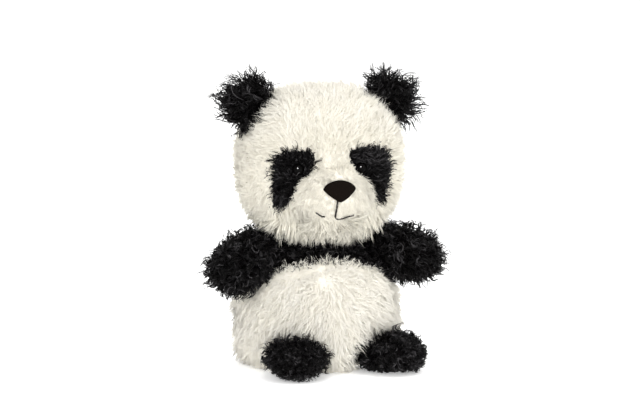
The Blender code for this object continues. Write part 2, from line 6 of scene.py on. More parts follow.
import bpy
import numpy as np
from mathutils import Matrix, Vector
from mathutils.bvhtree import BVHTree
from mathutils.kdtree import KDTree

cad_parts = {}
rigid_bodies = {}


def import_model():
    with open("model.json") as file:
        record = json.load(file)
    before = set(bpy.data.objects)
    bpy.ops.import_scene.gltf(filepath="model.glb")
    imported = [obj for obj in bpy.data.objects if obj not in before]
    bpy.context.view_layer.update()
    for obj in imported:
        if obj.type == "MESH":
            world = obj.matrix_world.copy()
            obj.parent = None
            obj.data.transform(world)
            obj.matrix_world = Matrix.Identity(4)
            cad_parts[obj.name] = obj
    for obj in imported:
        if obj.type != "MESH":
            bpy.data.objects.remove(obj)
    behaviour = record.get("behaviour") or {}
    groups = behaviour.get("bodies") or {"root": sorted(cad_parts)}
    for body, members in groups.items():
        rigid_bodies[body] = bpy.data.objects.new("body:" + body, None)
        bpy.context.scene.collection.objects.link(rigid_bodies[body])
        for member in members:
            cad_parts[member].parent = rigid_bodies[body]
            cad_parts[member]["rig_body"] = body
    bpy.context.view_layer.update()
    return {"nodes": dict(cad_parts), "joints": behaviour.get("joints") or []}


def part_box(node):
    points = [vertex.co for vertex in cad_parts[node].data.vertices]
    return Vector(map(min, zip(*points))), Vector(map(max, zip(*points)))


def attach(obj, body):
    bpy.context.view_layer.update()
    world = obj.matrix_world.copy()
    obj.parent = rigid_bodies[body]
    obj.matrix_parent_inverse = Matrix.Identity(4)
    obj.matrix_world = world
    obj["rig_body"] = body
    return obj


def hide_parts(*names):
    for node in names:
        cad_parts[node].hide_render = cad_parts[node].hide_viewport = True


# Camera. Lengths are in metres and angles in degrees here and below.
AZIMUTH = -15.0
ELEVATION = 8.0
DISTANCE = 1.5
LENS = 146.7
AIM = (0.0, 0.0, 0.084)
AIM_RIGHT = 0.0017
AIM_UP = 0.0075

# Cloth
VOXEL = 0.002
SIM_FRAMES = 20
PRESSURE = 4.0
PUFF_CAP = 0.0016  # the most that the pressure may move the cloth
SEAM_SINK = 0.0006
CLOTH_THICK = 0.0010
CLOTH_FLOOR_GAP = 0.0003
CLEAR_OF_OTHERS = 0.0022
SMOOTH_ROUNDS = 6
SEAM_SMOOTH_ROUNDS = 10

# Pile
FIRST_SEED = 11
STRAND_SIDES = 3
SHADE_STEPS = 64  # columns of the pile's UV layer, one for each shade
SOFTNESS = 0.8    # how far a white strand's shading follows the cloth's
MOST_FACES = 200_000
FLOOR_GAP = 0.0004
ROOT_GAP = 0.0006         # how far from its root a strand starts to look for cloth in its way
SHORTEST = 0.0008
BEAD_RADIUS = 0.0037
WANDER = [(0.55, 0.022), (0.25, 0.008)]  # how far the comb wanders, and over what distance
LONE_SPREAD = 0.35        # a strand's own turn, as a part of its tuft's
LEAST_OUTWARD = 0.25      # the least that a strand stands up from the cloth
TUFT_VARIES = 0.13
STRAND_VARIES = 0.10
LENGTH_LIMITS = (0.5, 1.4)
BEND_ALONG = 0.25
BEND_VARIES = 0.12
BEND_SIZE = 0.6
PHASE_VARIES = 0.35
TURNS_VARY = (0.6, 1.4)
CURL_VARIES = (0.6, 1.3)
WIDTH_VARIES = (0.8, 1.25)
TAPER = 0.55
UV_NAME = "OFBake"

# Nose and mouth
NOSE_BROAD_AT = 0.2  # where the nose is broadest, from -1 at its foot to 1 at its top
NOSE_BEND = 0.045    # the radius that the nose curves back with
NOSE_TILT = -14
NOSE_SHIFT = np.array([0.0001, -0.0004, 0.0002])
NOSE_GROWTH = np.array([0.96, 0.9, 1.04])
THREAD_LIFT = 0.0016
THREAD_TWIST = 0.0011
THREAD_STEP = 0.00018
SMILE_PLY = 0.00029
PHILTRUM_PLY = 0.00038

# Panels of each body, and the other nodes that fill the body out while its cloth is shaped
COVERS = {
    "torso": ["yoke_front", "yoke_back", "belly_panel", "back_panel_left", "back_panel_right", "base_panel"],
    "head": [
        "forehead_gusset",
        "cheek_left",
        "cheek_right",
        "chin_panel",
        "head_back_left",
        "head_back_right",
        "muzzle_panel",
        "eye_patch_left",
        "eye_patch_right",
    ],
}
FILLERS = {
    "torso": ["torso_stuffing", "bean_pouch_top", "bean_pouch_base", "bean_fill"],
    "head": ["head_stuffing", "muzzle_stuffing", "eye_washer_left", "eye_washer_right"],
}
for side in ("left", "right"):
    COVERS[f"arm_{side}"] = [f"arm_upper_{side}", f"arm_under_{side}"]
    FILLERS[f"arm_{side}"] = [f"arm_stuffing_{side}"]
    COVERS[f"leg_{side}"] = [f"leg_top_{side}", f"leg_under_{side}", f"sole_{side}"]
    FILLERS[f"leg_{side}"] = [f"leg_stuffing_{side}"]
    COVERS[f"ear_{side}"] = [f"ear_front_{side}", f"ear_back_{side}"]
    FILLERS[f"ear_{side}"] = [f"ear_batting_{side}"]

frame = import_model()
nodes = frame["nodes"]
scene = bpy.context.scene


def centre_of(node):
    low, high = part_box(node)
    return np.array((low + high) / 2)


def bead_place(side):
    """The middle of the eye's bead. The rest of the node is its stem, which runs back from it."""
    low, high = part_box(f"eye_{side}")
    radius = (high.x - low.x) / 2
    return np.array([(low.x + high.x) / 2, low.y + radius, (low.z + high.z) / 2])


def unit(a):
    return a / np.maximum(np.linalg.norm(a, axis=-1, keepdims=True), 1e-12)


def link(name, data):
    made = bpy.data.objects.new(name, data)
    scene.collection.objects.link(made)
    return made


# Materials


def colour(r, g, b):
    """A linear colour from the usual 0 to 255 display values."""
    def linear(v):
        v /= 255
        return v / 12.92 if v <= 0.04045 else ((v + 0.055) / 1.055) ** 2.4

    return (linear(r), linear(g), linear(b), 1.0)


def new_material(name, **values):
    made = bpy.data.materials.new(name)
    made.use_nodes = True
    shader = made.node_tree.nodes["Principled BSDF"]
    for key, value in values.items():
        shader.inputs[key.replace("_", " ")].default_value = value
    return made, made.node_tree, shader


def add_node(tree, kind, **values):
    made = tree.nodes.new(kind)
    for key, value in values.items():
        setattr(made, key, value)
    return made


def ramp_of(tree, stops, source):
    ramp = add_node(tree, "ShaderNodeValToRGB")
    band = ramp.color_ramp
    while len(band.elements) < len(stops):
        band.elements.new(0.5)
    for element, (place, tint) in zip(band.elements, stops):
        element.position = place
        element.color = tint
    tree.links.new(source, ramp.inputs["Fac"])
    return ramp.outputs["Color"]


def noise_of(tree, scale):
    where = add_node(tree, "ShaderNodeTexCoord")
    noise = add_node(tree, "ShaderNodeTexNoise")
    noise.inputs["Scale"].default_value = scale
    noise.inputs["Detail"].default_value = 4.0
    noise.inputs["Roughness"].default_value = 0.55
    tree.links.new(where.outputs["Object"], noise.inputs["Vector"])
    return noise.outputs["Fac"]


def bump_of(tree, shader, source, strength, depth):
    bump = add_node(tree, "ShaderNodeBump")
    bump.inputs["Strength"].default_value = strength
    bump.inputs["Distance"].default_value = depth
    tree.links.new(source, bump.inputs["Height"])
    tree.links.new(bump.outputs["Normal"], shader.inputs["Normal"])


def grainy_material(name, stops, scale, rough=(0.6, 0.9), bump=(0.4, 0.0006), **values):
    """A material whose colour, roughness and bump all come from one noise."""
    made, tree, shader = new_material(name, **values)
    grain = noise_of(tree, scale)
    tree.links.new(ramp_of(tree, stops, grain), shader.inputs["Base Color"])
    span = add_node(tree, "ShaderNodeMapRange")
    span.inputs["To Min"].default_value = rough[0]
    span.inputs["To Max"].default_value = rough[1]
    tree.links.new(grain, span.inputs["Value"])
    tree.links.new(span.outputs["Result"], shader.inputs["Roughness"])
    bump_of(tree, shader, grain, *bump)
    return made


def pile_material(name, roots, tips, **values):
    """Strands coloured by their own shade, which is U, and from root to tip, which is V. U differs at random and also
    carries painted shade and painted highlights.
    """
    made, tree, shader = new_material(name, **values)
    place = add_node(tree, "ShaderNodeUVMap", uv_map=UV_NAME)
    split = add_node(tree, "ShaderNodeSeparateXYZ")
    tree.links.new(place.outputs["UV"], split.inputs["Vector"])
    mix = add_node(tree, "ShaderNodeMix", data_type="RGBA")
    tree.links.new(split.outputs["Y"], mix.inputs["Factor"])
    tree.links.new(ramp_of(tree, roots, split.outputs["X"]), mix.inputs["A"])
    tree.links.new(ramp_of(tree, tips, split.outputs["X"]), mix.inputs["B"])
    tree.links.new(mix.outputs["Result"], shader.inputs["Base Color"])
    return made


WHITE_PILE_WITH_PAINTED_SHADE = pile_material(
    "white_pile",
    [
        # The dark low end of U holds the tones for the head's painted shade. Above it the tones differ at random.
        (0.0, colour(212, 207, 194)),
        (0.4, colour(243, 237, 221)),
        (0.7, colour(249, 244, 229)),
        (1.0, colour(252, 248, 237)),
    ],
    [
        (0.0, colour(221, 217, 205)),
        (0.4, colour(248, 244, 230)),
        (0.7, colour(252, 248, 238)),
        (1.0, colour(254, 251, 244)),
    ],
    Roughness=0.75,
    Specular_IOR_Level=0.12,
)
BLACK_PILE_WITH_PAINTED_HIGHLIGHTS = pile_material(
    "black_pile",
    [(0.0, colour(4, 3, 3)), (1.0, colour(14, 12, 13))],
    # The pale grey tips at the top of U are painted highlights on the curls. The roots and the rest are the pile's own
    # black.
    [(0.0, colour(7, 6, 6)), (0.5, colour(14, 13, 13)), (0.74, colour(40, 39, 40)), (1.0, colour(100, 98, 100))],
    Roughness=0.42,
    Specular_IOR_Level=0.1,
)
WHITE_CLOTH = grainy_material(
    "white_cloth",
    [(0.3, colour(243, 237, 222)), (0.7, colour(251, 247, 237))],
    900.0,
    Specular_IOR_Level=0.2,
)
BLACK_CLOTH = grainy_material(
    "black_cloth",
    [(0.3, colour(5, 4, 4)), (0.7, colour(12, 10, 11))],
    900.0,
    Specular_IOR_Level=0.03,
)
STUFFING = grainy_material(
    "stuffing_fibre", [(0.3, colour(226, 226, 224)), (0.7, colour(250, 250, 248))], 420.0, Sheen_Weight=0.3
)
CALICO = grainy_material("calico", [(0.3, colour(206, 194, 168)), (0.7, colour(228, 219, 198))], 1500.0)
PELLETS = grainy_material(
    "pellets", [(0.3, colour(214, 216, 214)), (0.7, colour(240, 241, 239))], 500.0, rough=(0.3, 0.5)
)
WASHER = grainy_material("washer_plastic", [(0.3, colour(196, 198, 196)), (0.7, colour(220, 221, 219))], 200.0)
EYE = grainy_material(
    "eye_plastic",
    [(0.3, colour(5, 4, 4)), (0.7, colour(9, 8, 8))],
    60.0,
    rough=(0.09, 0.14),
    bump=(0.02, 0.0001),
    Specular_IOR_Level=0.035,
)
DARK_THREAD = grainy_material(
    "dark_thread",
    [(0.3, colour(16, 11, 9)), (0.7, colour(36, 26, 21))],
    2600.0,
    Sheen_Weight=0.2,
    Specular_IOR_Level=0.25,
)
WHITE_THREAD = grainy_material("white_thread", [(0.3, colour(226, 220, 206)), (0.7, colour(246, 243, 234))], 2600.0)
NOSE_CLOTH = grainy_material(
    "nose_cloth",
    [(0.25, colour(10, 6, 4)), (0.75, colour(20, 13, 9))],
    1800.0,
    rough=(0.62, 0.8),
    bump=(0.25, 0.0002),
    Specular_IOR_Level=0.04,
)


def is_black(node):
    return node.startswith(("yoke", "eye_patch", "ear_", "arm_", "leg_", "sole"))


# Cloth panels


def triangles_of(node):
    """A CAD node's vertices and triangles as arrays."""
    mesh = nodes[node].data
    mesh.calc_loop_triangles()
    points = np.empty(len(mesh.vertices) * 3)
    mesh.vertices.foreach_get("co", points)
    faces = np.empty(len(mesh.loop_triangles) * 3, np.int32)
    mesh.loop_triangles.foreach_get("vertices", faces)
    return points.reshape(-1, 3), faces.reshape(-1, 3)


def joined(names):
    """Several nodes as one set of arrays, with the number of each triangle's node in the list."""
    points, faces, owner = [], [], []
    count = 0
    for number, name in enumerate(names):
        p, f = triangles_of(name)
        points.append(p)
        faces.append(f + count)
        owner.append(np.full(len(f), number))
        count += len(p)
    return np.concatenate(points), np.concatenate(faces), np.concatenate(owner)


def tree_of(points, faces):
    return BVHTree.FromPolygons(points.tolist(), faces.tolist())


def largest_part(points, faces):
    """Drops everything but the part with the most faces, which leaves out the walls of inner hollows."""
    label = np.arange(len(points))
    while True:
        low = label[faces].min(1)
        new = label.copy()
        np.minimum.at(new, faces.ravel(), np.repeat(low, faces.shape[1]))
        if np.array_equal(new, label):
            break
        label = new
    of_face = label[faces[:, 0]]
    kept = faces[of_face == np.bincount(of_face).argmax()]
    used, flat = np.unique(kept, return_inverse=True)
    return points[used], flat.reshape(kept.shape)


def quads_of(mesh):
    points = np.empty(len(mesh.vertices) * 3)
    mesh.vertices.foreach_get("co", points)
    faces = np.empty(len(mesh.polygons) * 4, np.int32)
    mesh.loops.foreach_get("vertex_index", faces)
    return points.reshape(-1, 3), faces.reshape(-1, 4)


def array_mesh(name, points, *groups):
    """A smooth mesh from arrays. Each group holds faces with the same number of corners."""
    mesh = bpy.data.meshes.new(name)
    mesh.vertices.add(len(points))
    mesh.vertices.foreach_set("co", points.astype(np.float32).ravel())
    loops = np.concatenate([group.ravel() for group in groups]).astype(np.int32)
    mesh.loops.add(len(loops))
    mesh.loops.foreach_set("vertex_index", loops)
    sizes = np.concatenate([np.full(len(group), group.shape[1]) for group in groups])
    mesh.polygons.add(len(sizes))
    mesh.polygons.foreach_set("loop_start", (np.cumsum(sizes) - sizes).astype(np.int32))
    mesh.update(calc_edges=True)
    mesh.shade_smooth()
    return mesh


def edges_of(faces):
    """Each edge's two vertices, and the two faces that meet there, for a closed mesh."""
    size = faces.shape[1]
    pairs = np.stack([faces, np.roll(faces, -1, axis=1)], axis=-1).reshape(-1, 2)
    owner = np.repeat(np.arange(len(faces)), size)
    pairs.sort(axis=1)
    order = np.lexsort((pairs[:, 1], pairs[:, 0]))
    pairs, owner = pairs[order], owner[order]
    same = np.all(pairs[:-1] == pairs[1:], axis=1)
    first = np.flatnonzero(same)
    return pairs[first], np.stack([owner[first], owner[first + 1]], axis=1)


def relaxed(points, edges, rounds, share, moving=None):
    """Moves each point towards the mean of the points that an edge joins it to."""
    points = points.copy()
    count = np.zeros(len(points))
    np.add.at(count, edges.ravel(), 1)
    for _ in range(rounds):
        total = np.zeros_like(points)
        np.add.at(total, edges[:, 0], points[edges[:, 1]])
        np.add.at(total, edges[:, 1], points[edges[:, 0]])
        step = (total / np.maximum(count, 1)[:, None] - points) * share
        step[count == 0] = 0
        if moving is not None:
            step *= moving[:, None]
        points += step
    return points


def normals_of(points, faces):
    across = np.cross(points[faces[:, 2]] - points[faces[:, 0]], points[faces[:, 3]] - points[faces[:, 1]])
    total = np.zeros_like(points)
    for corner in range(4):
        np.add.at(total, faces[:, corner], across)
    return unit(total)


def puffed(name, points, faces, held):
    """The form filled from inside: cloth under pressure, held along its seams and where it lies on other bodies."""
    bag = link(name, array_mesh(name, points, faces))
    group = bag.vertex_groups.new(name="held")
    group.add(np.flatnonzero(held).tolist(), 1.0, "REPLACE")
    cloth = bag.modifiers.new("cloth", "CLOTH")
    cloth.settings.quality = 5
    cloth.settings.mass = 0.3
    cloth.settings.use_pressure = True
    cloth.settings.uniform_pressure_force = PRESSURE
    cloth.settings.vertex_group_mass = "held"
    cloth.settings.effector_weights.gravity = 0.0
    cloth.point_cache.frame_start = 1
    cloth.point_cache.frame_end = SIM_FRAMES
    for step in range(1, SIM_FRAMES + 1):
        scene.frame_set(step)
    shaped = bag.evaluated_get(bpy.context.evaluated_depsgraph_get())
    moved = np.empty(len(points) * 3)
    shaped.data.vertices.foreach_get("co", moved)
    bpy.data.objects.remove(bag)
    scene.frame_set(1)
    step = moved.reshape(-1, 3) - points
    far = np.linalg.norm(step, axis=1, keepdims=True)
    return points + step * np.minimum(1.0, PUFF_CAP / np.maximum(far, 1e-9))


def near_others(points, body):
    """True for points that lie close to another body's CAD nodes, or under the nose, the eyes or the mouth."""
    others = [n for n, o in nodes.items() if o["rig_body"] != body and "thread" not in n]
    others += ["nose_pad", "eye_left", "eye_right", "mouth_smile", "mouth_philtrum"]
    tree = tree_of(*joined(others)[:2])
    return np.array([tree.find_nearest(p, CLEAR_OF_OTHERS)[0] is not None for p in points.tolist()])


def body_form(body):
    """The body's cloth as one closed surface: points, quads, normals and the number of each quad's panel."""
    points, faces, _ = joined(COVERS[body] + FILLERS[body])
    mesh = bpy.data.meshes.new(f"{body}_form")
    mesh.from_pydata(points.tolist(), [], faces.tolist())
    whole = link(mesh.name, mesh)
    remesh = whole.modifiers.new("voxels", "REMESH")
    remesh.mode = "VOXEL"
    remesh.voxel_size = VOXEL
    shaped = whole.evaluated_get(bpy.context.evaluated_depsgraph_get())
    points, faces = largest_part(*quads_of(shaped.data))
    bpy.data.objects.remove(whole)
    edges, sides = edges_of(faces)
    tight = near_others(points, body)
    points = relaxed(points, edges, SMOOTH_ROUNDS, 0.5, np.where(tight, 0.3, 1.0))
    panel_points, panel_faces, owner = joined(COVERS[body])
    panels = tree_of(panel_points, panel_faces)
    middle = points[faces].mean(1)
    number = np.array([owner[panels.find_nearest(p)[2]] for p in middle.tolist()])
    seams = edges[number[sides[:, 0]] != number[sides[:, 1]]]
    on_seam = np.zeros(len(points), bool)
    on_seam[seams.ravel()] = True
    points = relaxed(points, seams, SEAM_SMOOTH_ROUNDS, 0.5)
    points = puffed(f"{body}_bag", points, faces, on_seam | tight)
    points[:, 2] = np.maximum(points[:, 2], CLOTH_FLOOR_GAP)
    normals = normals_of(points, faces)
    points[on_seam] -= normals[on_seam] * SEAM_SINK
    return {
        "body": body,
        "points": points,
        "faces": faces,
        "normals": normals_of(points, faces),
        "number": number,
        "panels": panels,
        "owner": owner,
    }


def panel_cloth(form, number, node):
    """One panel of a body as its own piece of cloth, with a real thickness."""
    faces = form["faces"][form["number"] == number]
    used, flat = np.unique(faces, return_inverse=True)
    mesh = array_mesh(f"{node}_cloth", form["points"][used], flat.reshape(faces.shape))
    cloth = link(mesh.name, mesh)
    thick = cloth.modifiers.new("thickness", "SOLIDIFY")
    thick.thickness = CLOTH_THICK
    thick.offset = -1.0
    mesh.materials.append(BLACK_CLOTH if is_black(node) else WHITE_CLOTH)
    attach(cloth, form["body"])
    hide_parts(node)
    "black_pile" if is_black(node) else "white_pile"


forms = {body: body_form(body) for body in COVERS}
for form in forms.values():
    for number, node in enumerate(COVERS[form["body"]]):
        panel_cloth(form, number, node)


# Pile

NOSE_PLACE = centre_of("nose_pad")
COMBED_FROM = NOSE_PLACE + np.array([0.0, 0.012, 0.002])  # the head's strands all point away from here
ROOTS = {joint["child"]: np.array(joint["pos_m"]) for joint in frame["joints"]}
EYES = [bead_place(side) for side in ("left", "right")]
BELLY_TOP = 0.063   # the height of the belly panel's upper seam at its middle
BELLY_BEND = 0.076  # the radius that the seam falls away with to each side
DOWN = np.array([0.0, 0.0, -1.0])

# per_mm2: strands on each square millimetre. lean: degrees from upright. droop: how far the tip sinks.
# curl: radius of the coil. turns: its turns. tuft: strands in each tuft. hold: how far they gather.
# spread: how far their ways differ. long_share: part of the tufts at full length. short: the others' length.
STYLES = {
    "belly": dict(
        per_mm2=1.8, length=0.0088, width=0.00032, points=5, lean=50, droop=0.20, curl=0.0008, turns=0.8,
        tuft=3, hold=0.4, spread=0.46, long_share=0.7, short=0.7,
    ),
    "side": dict(
        per_mm2=1.9, length=0.0074, width=0.00030, points=4, lean=54, droop=0.15, curl=0.0006, turns=0.6,
        tuft=3, hold=0.3, spread=0.32, long_share=0.7, short=0.75,
    ),
    "head": dict(
        per_mm2=2.2, length=0.0070, width=0.00029, points=4, lean=50, droop=0.03, curl=0.0005, turns=0.6,
        tuft=3, hold=0.25, spread=0.36, long_share=0.7, short=0.75,
    ),
    "chin": dict(
        per_mm2=2.0, length=0.0078, width=0.00026, points=5, lean=50, droop=0.30, curl=0.0005, turns=0.5,
        tuft=4, hold=0.7, spread=0.36, long_share=0.6, short=0.7,
    ),
    "muzzle": dict(
        per_mm2=2.8, length=0.0031, width=0.00026, points=4, lean=52, droop=0.05, curl=0.0002, turns=0.5,
        tuft=4, hold=0.3, spread=0.34, long_share=0.7, short=0.75,
    ),
    "curly": dict(
        per_mm2=1.15, length=0.0080, width=0.00056, points=8, lean=40, droop=0.10, curl=0.0016, turns=0.95,
        tuft=3, hold=0.8, spread=0.60, long_share=0.45, short=0.55,
    ),
    "foot": dict(
        per_mm2=1.25, length=0.0066, width=0.00054, points=8, lean=42, droop=0.10, curl=0.0015, turns=0.95,
        tuft=3, hold=0.8, spread=0.60, long_share=0.4, short=0.6,
    ),
    "ear": dict(
        per_mm2=1.35, length=0.0113, width=0.00054, points=8, lean=40, droop=0.06, curl=0.0016, turns=0.95,
        tuft=3, hold=0.8, spread=0.60, long_share=0.45, short=0.55,
    ),
    "sole": dict(
        per_mm2=1.5, length=0.0036, width=0.00062, points=7, lean=35, droop=0.03, curl=0.0010, turns=1.0,
        tuft=2, hold=0.3, spread=0.6, long_share=0.5, short=0.75,
    ),
    "patch": dict(
        per_mm2=1.9, length=0.0058, width=0.00052, points=7, lean=50, droop=0.04, curl=0.0009, turns=0.9,
        tuft=2, hold=0.6, spread=0.42, long_share=0.4, short=0.65,
    ),
    "yoke": dict(
        per_mm2=0.9, length=0.0052, width=0.00062, points=7, lean=45, droop=0.12, curl=0.0011, turns=1.0,
        tuft=2, hold=0.5, spread=0.5, long_share=0.4, short=0.7,
    ),
}


def style_of(node):
    for start, style in (
        ("sole", "sole"),
        ("eye_patch", "patch"),
        ("yoke", "yoke"),
        ("ear", "ear"),
        ("leg", "foot"),
        ("muzzle", "muzzle"),
        ("chin", "chin"),
        ("belly", "belly"),
        ("back_panel", "side"),
        ("forehead", "head"),
        ("cheek", "head"),
        ("head_back", "head"),
    ):
        if node.startswith(start):
            return STYLES[style]
    return STYLES["curly"]


def rise(value, low, high):
    """0 below low and 1 above high, with a soft start and end. low may be the larger."""
    share = np.clip((value - low) / (high - low), 0, 1)
    return share * share * (3 - 2 * share)


def top_edge(x):
    """The height of the belly panel's upper seam."""
    return BELLY_TOP - x**2 / (2 * BELLY_BEND)


def head_comb(node, places):
    """Away from the nose, and down low on the cheeks, under the chin and at the back."""
    _, y, z = places.T
    low_cheek = rise(z, 0.112, 0.092)
    back = rise(y, 0.0, 0.022)
    down = 1.1 if node == "chin_panel" else np.maximum(0.9 * low_cheek, 1.6 * back)
    return unit(unit(places - COMBED_FROM) + DOWN * np.broadcast_to(down, z.shape)[:, None])


def torso_comb(node, places):
    """Down and outward, but up where white pile meets the yoke."""
    x, y, z = places.T
    up = 1.4 * rise(z, top_edge(x) - 0.0055, top_edge(x) - 0.0015) * (not is_black(node))
    if node == "belly_panel":
        aside = x * 22 * (1 - 0.75 * rise(np.abs(x), 0.026, 0.040))
        return unit(np.stack([aside + 0.1, y * 0, up - 0.7], axis=1))
    return unit(np.stack([x * 3, y * 3, 0.75 * up - 1], axis=1))


def comb_of(node, form, places):
    """The way each strand is combed, before it is laid along the cloth. A limb's or an ear's is away from its root."""
    if form["body"] == "head":
        return head_comb(node, places)
    if form["body"] == "torso":
        return torso_comb(node, places)
    return unit(places - ROOTS[form["body"]])


def muzzle_reach(places):
    """Short round the nose, longer at the sides and the back, and longest in the fringe under the mouth."""
    x, y, z = places.T
    fringe = rise(z, 0.0908, 0.0865)
    side = rise(np.abs(x), 0.013, 0.020)
    back = rise(y, -0.043, -0.033) * rise(z, 0.100, 0.108)
    beside_nose = np.hypot((x - NOSE_PLACE[0]) / 0.0092, (z - NOSE_PLACE[2]) / 0.0062)
    return (1 + 1.9 * fringe + 0.5 * side + 0.6 * back) * (0.4 + 0.6 * rise(beside_nose, 0.85, 1.0))


def patch_reach(places):
    """Short round the bead of the eye."""
    near = [np.linalg.norm(places - middle, axis=1) for middle in EYES]
    return 0.35 + 0.65 * rise(np.minimum(*near), 0.0030, 0.0060)


def head_reach(node, places):
    """Longer low on the cheeks, shorter between the eyes and on the head's right side."""
    x, y, z = places.T
    low_cheek = rise(z, 0.112, 0.090)
    bridge = rise(y, -0.028, -0.033) * rise(np.abs(x), 0.016, 0.010) * rise(z, 0.132, 0.122)
    flat_side = rise(-x, 0.026, 0.040)
    return (1 + 0.1 * low_cheek * (node != "chin_panel")) * (1 - 0.5 * bridge) * (1 - 0.3 * flat_side)


def belly_reach(places):
    """Shorter at the flanks and towards the upper seam."""
    x, _, z = places.T
    flank = rise(np.abs(x), 0.024, 0.038)
    edge = rise(z, top_edge(x) - 0.012, top_edge(x) - 0.003)
    return 1 - 0.3 * flank - 0.45 * edge


def reach_of(node, form, places, normals):
    """How long the pile is at each place, as a part of its style's length."""
    if node == "muzzle_panel":
        return muzzle_reach(places)
    if node.startswith("eye_patch"):
        return patch_reach(places)
    if form["body"] == "head":
        return head_reach(node, places)
    if node == "belly_panel":
        return belly_reach(places)
    if node.startswith("leg"):
        underside = rise(-normals[:, 2], 0.1, 0.6)
        return 1 - 0.6 * underside
    return np.ones(len(places))


def fringe_of(node, places):
    """How much each strand belongs to the coarse fringe under the mouth, from 0 to 1."""
    if node == "muzzle_panel":
        return rise(places[:, 2], 0.0905, 0.0870)
    return np.full(len(places), 1.0 if node == "chin_panel" else 0.0)


def waves(places, size, rng):
    """A smooth random vector at each place, that changes over about that size."""
    total = np.zeros_like(places)
    for _ in range(7):
        way = unit(rng.normal(size=3)) * (2 * math.pi / size) * rng.uniform(0.6, 1.5)
        total += np.sin(places @ way + rng.uniform(0, 2 * math.pi))[:, None] * rng.normal(size=3)
    return total / math.sqrt(7)


all_points = np.concatenate([f["points"] for f in forms.values()])
start = np.cumsum([0] + [len(f["points"]) for f in forms.values()])
all_faces = np.concatenate([f["faces"] + s for f, s in zip(forms.values(), start)])
EVERY_CLOTH = tree_of(all_points, all_faces)


def scattered(form, number, per_mm2, rng):
    """Random places on a panel's cloth, and the cloth's normal there. The panel's edge is the CAD panel's own."""
    near = np.zeros(len(form["points"]), bool)
    near[form["faces"][form["number"] == number].ravel()] = True
    faces = form["faces"][near[form["faces"]].any(1)]
    corners = form["points"][faces]
    area = np.linalg.norm(np.cross(corners[:, 2] - corners[:, 0], corners[:, 3] - corners[:, 1]), axis=1) / 2
    count = rng.poisson(area * 1e6 * per_mm2)
    chosen = np.repeat(np.arange(len(faces)), count)
    u = rng.uniform(size=(len(chosen), 1))
    v = rng.uniform(size=(len(chosen), 1))
    shares = [(1 - u) * (1 - v), u * (1 - v), u * v, (1 - u) * v]
    places = sum(s * form["points"][faces[chosen, k]] for k, s in enumerate(shares))
    normals = unit(sum(s * form["normals"][faces[chosen, k]] for k, s in enumerate(shares)))
    owner = np.array([form["owner"][form["panels"].find_nearest(p)[2]] for p in places.tolist()], int)
    kept = owner == number
    return places[kept], normals[kept]


def free_length(places, ways, wanted):
    """How far a strand can go before it meets cloth."""
    out = wanted.copy()
    start_places = places + ways * ROOT_GAP
    for i, (p, w) in enumerate(zip(start_places.tolist(), ways.tolist())):
        hit = EVERY_CLOTH.ray_cast(p, w, wanted[i])[3]
        if hit is not None:
            out[i] = max(SHORTEST, hit * 0.8)
    return out


def tufts_of(places, tufts, rng):
    """The strand that leads each tuft, and the number of each strand's tuft, which is the nearest leader's."""
    leaders = rng.permutation(len(places))[:tufts]
    finder = KDTree(tufts)
    for number, place in enumerate(places[leaders].tolist()):
        finder.insert(place, number)
    finder.balance()
    return leaders, np.array([finder.find(place)[1] for place in places.tolist()])


def strand_ways(normals, along, tuft, tufts, style, rng):
    """The way each strand leaves the cloth."""
    lean = math.radians(style["lean"])
    tuft_turn = rng.normal(size=(tufts, 3)) * style["spread"]
    way = unit(normals * math.cos(lean) + along * math.sin(lean) + tuft_turn[tuft])
    way = unit(way + rng.normal(size=normals.shape) * style["spread"] * LONE_SPREAD)
    outward = (way * normals).sum(1, keepdims=True)
    return unit(way + normals * np.maximum(0.0, LEAST_OUTWARD - outward))


def strand_lengths(places, way, reach, tuft, tufts, style, rng):
    """Each strand's length, cut short where cloth is in its way."""
    full = (rng.uniform(size=tufts) < style["long_share"])[tuft]
    vary = rng.normal(1, TUFT_VARIES, tufts)[tuft] * rng.normal(1, STRAND_VARIES, len(places))
    length = style["length"] * reach * np.clip(vary, *LENGTH_LIMITS) * np.where(full, 1.0, style["short"])
    return free_length(places, way, length)


def coils(way, length, s, tuft, tufts, style, rng):
    """How far each strand's coil takes it to the side, from root to tip."""
    helper = unit(np.cross(way, rng.normal(size=(tufts, 3))[tuft]))
    other = np.cross(way, helper)
    phase = rng.uniform(0, 2 * math.pi, tufts)[tuft] + rng.normal(size=len(way)) * PHASE_VARIES
    hand = np.where(rng.uniform(size=tufts) < 0.5, -1.0, 1.0)[tuft]
    turns = style["turns"] * rng.uniform(*TURNS_VARY, tufts)[tuft]
    angle = (phase[:, None] + 2 * math.pi * turns[:, None] * s[0, :, 0][None] ** 1.6 * hand[:, None])[..., None]
    radius = style["curl"] * rng.uniform(*CURL_VARIES, tufts)[tuft] * np.minimum(1, length / style["length"])
    zero = phase[:, None, None]
    return radius[:, None, None] * s**0.7 * (
        (np.cos(angle) - np.cos(zero)) * helper[:, None] + (np.sin(angle) - np.sin(zero)) * other[:, None]
    )


